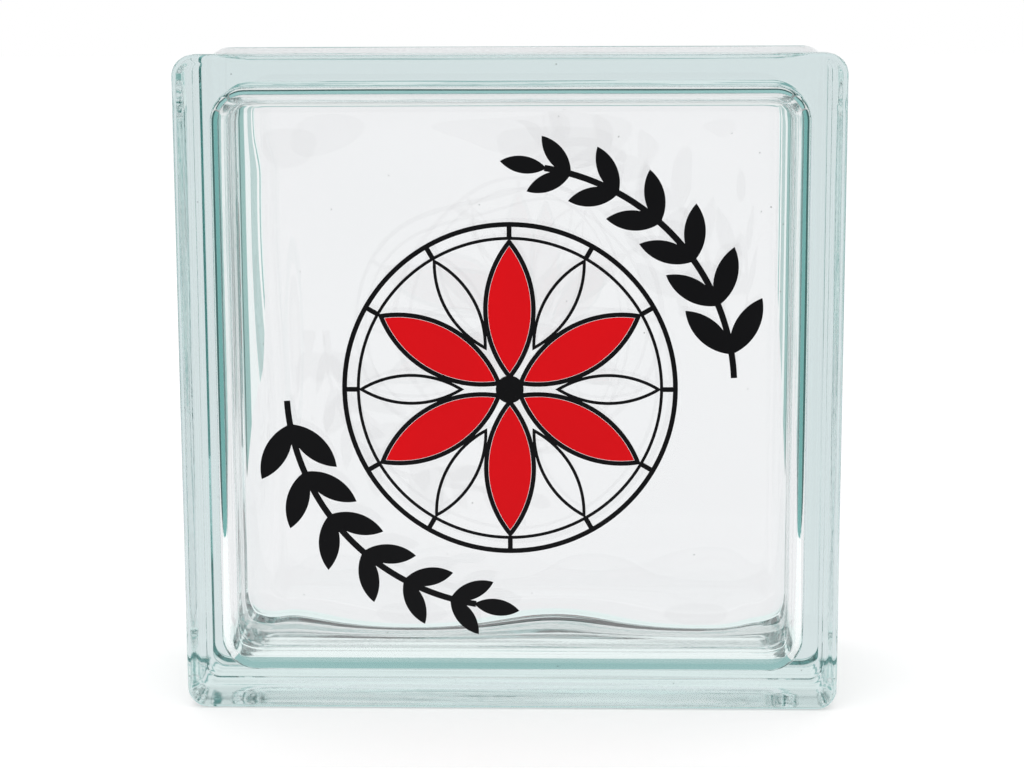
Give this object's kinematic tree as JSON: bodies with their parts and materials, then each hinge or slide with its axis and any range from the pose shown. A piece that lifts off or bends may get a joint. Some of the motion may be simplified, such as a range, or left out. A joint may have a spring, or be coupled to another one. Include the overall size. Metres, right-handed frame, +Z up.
{
  "type": "glass block",
  "caption": "Square hollow block of clear green-tinted glass with a mortar channel round its edge and a cut-film rosette ornament on the front face.",
  "frame": {"origin": "middle of the base, on the plane the two base rims stand on", "axes": "+X to the right seen from the front, +Y from the decorated front to the back, +Z up"},
  "size_m": [0.19, 0.0801, 0.19],
  "materials": {
    "glass": "clear pressed glass with a green-blue tint",
    "black_film": "satin cut vinyl film",
    "red_film": "satin cut vinyl film"
  },
  "bodies": {
    "root": {"glass_block": "glass", "rosette_lines": "black_film", "laurel_upper": "black_film", "laurel_lower": "black_film", "red_petal_1": "red_film", "red_petal_2": "red_film", "red_petal_3": "red_film", "red_petal_4": "red_film", "red_petal_5": "red_film", "red_petal_6": "red_film"}
  },
  "joints": []
}
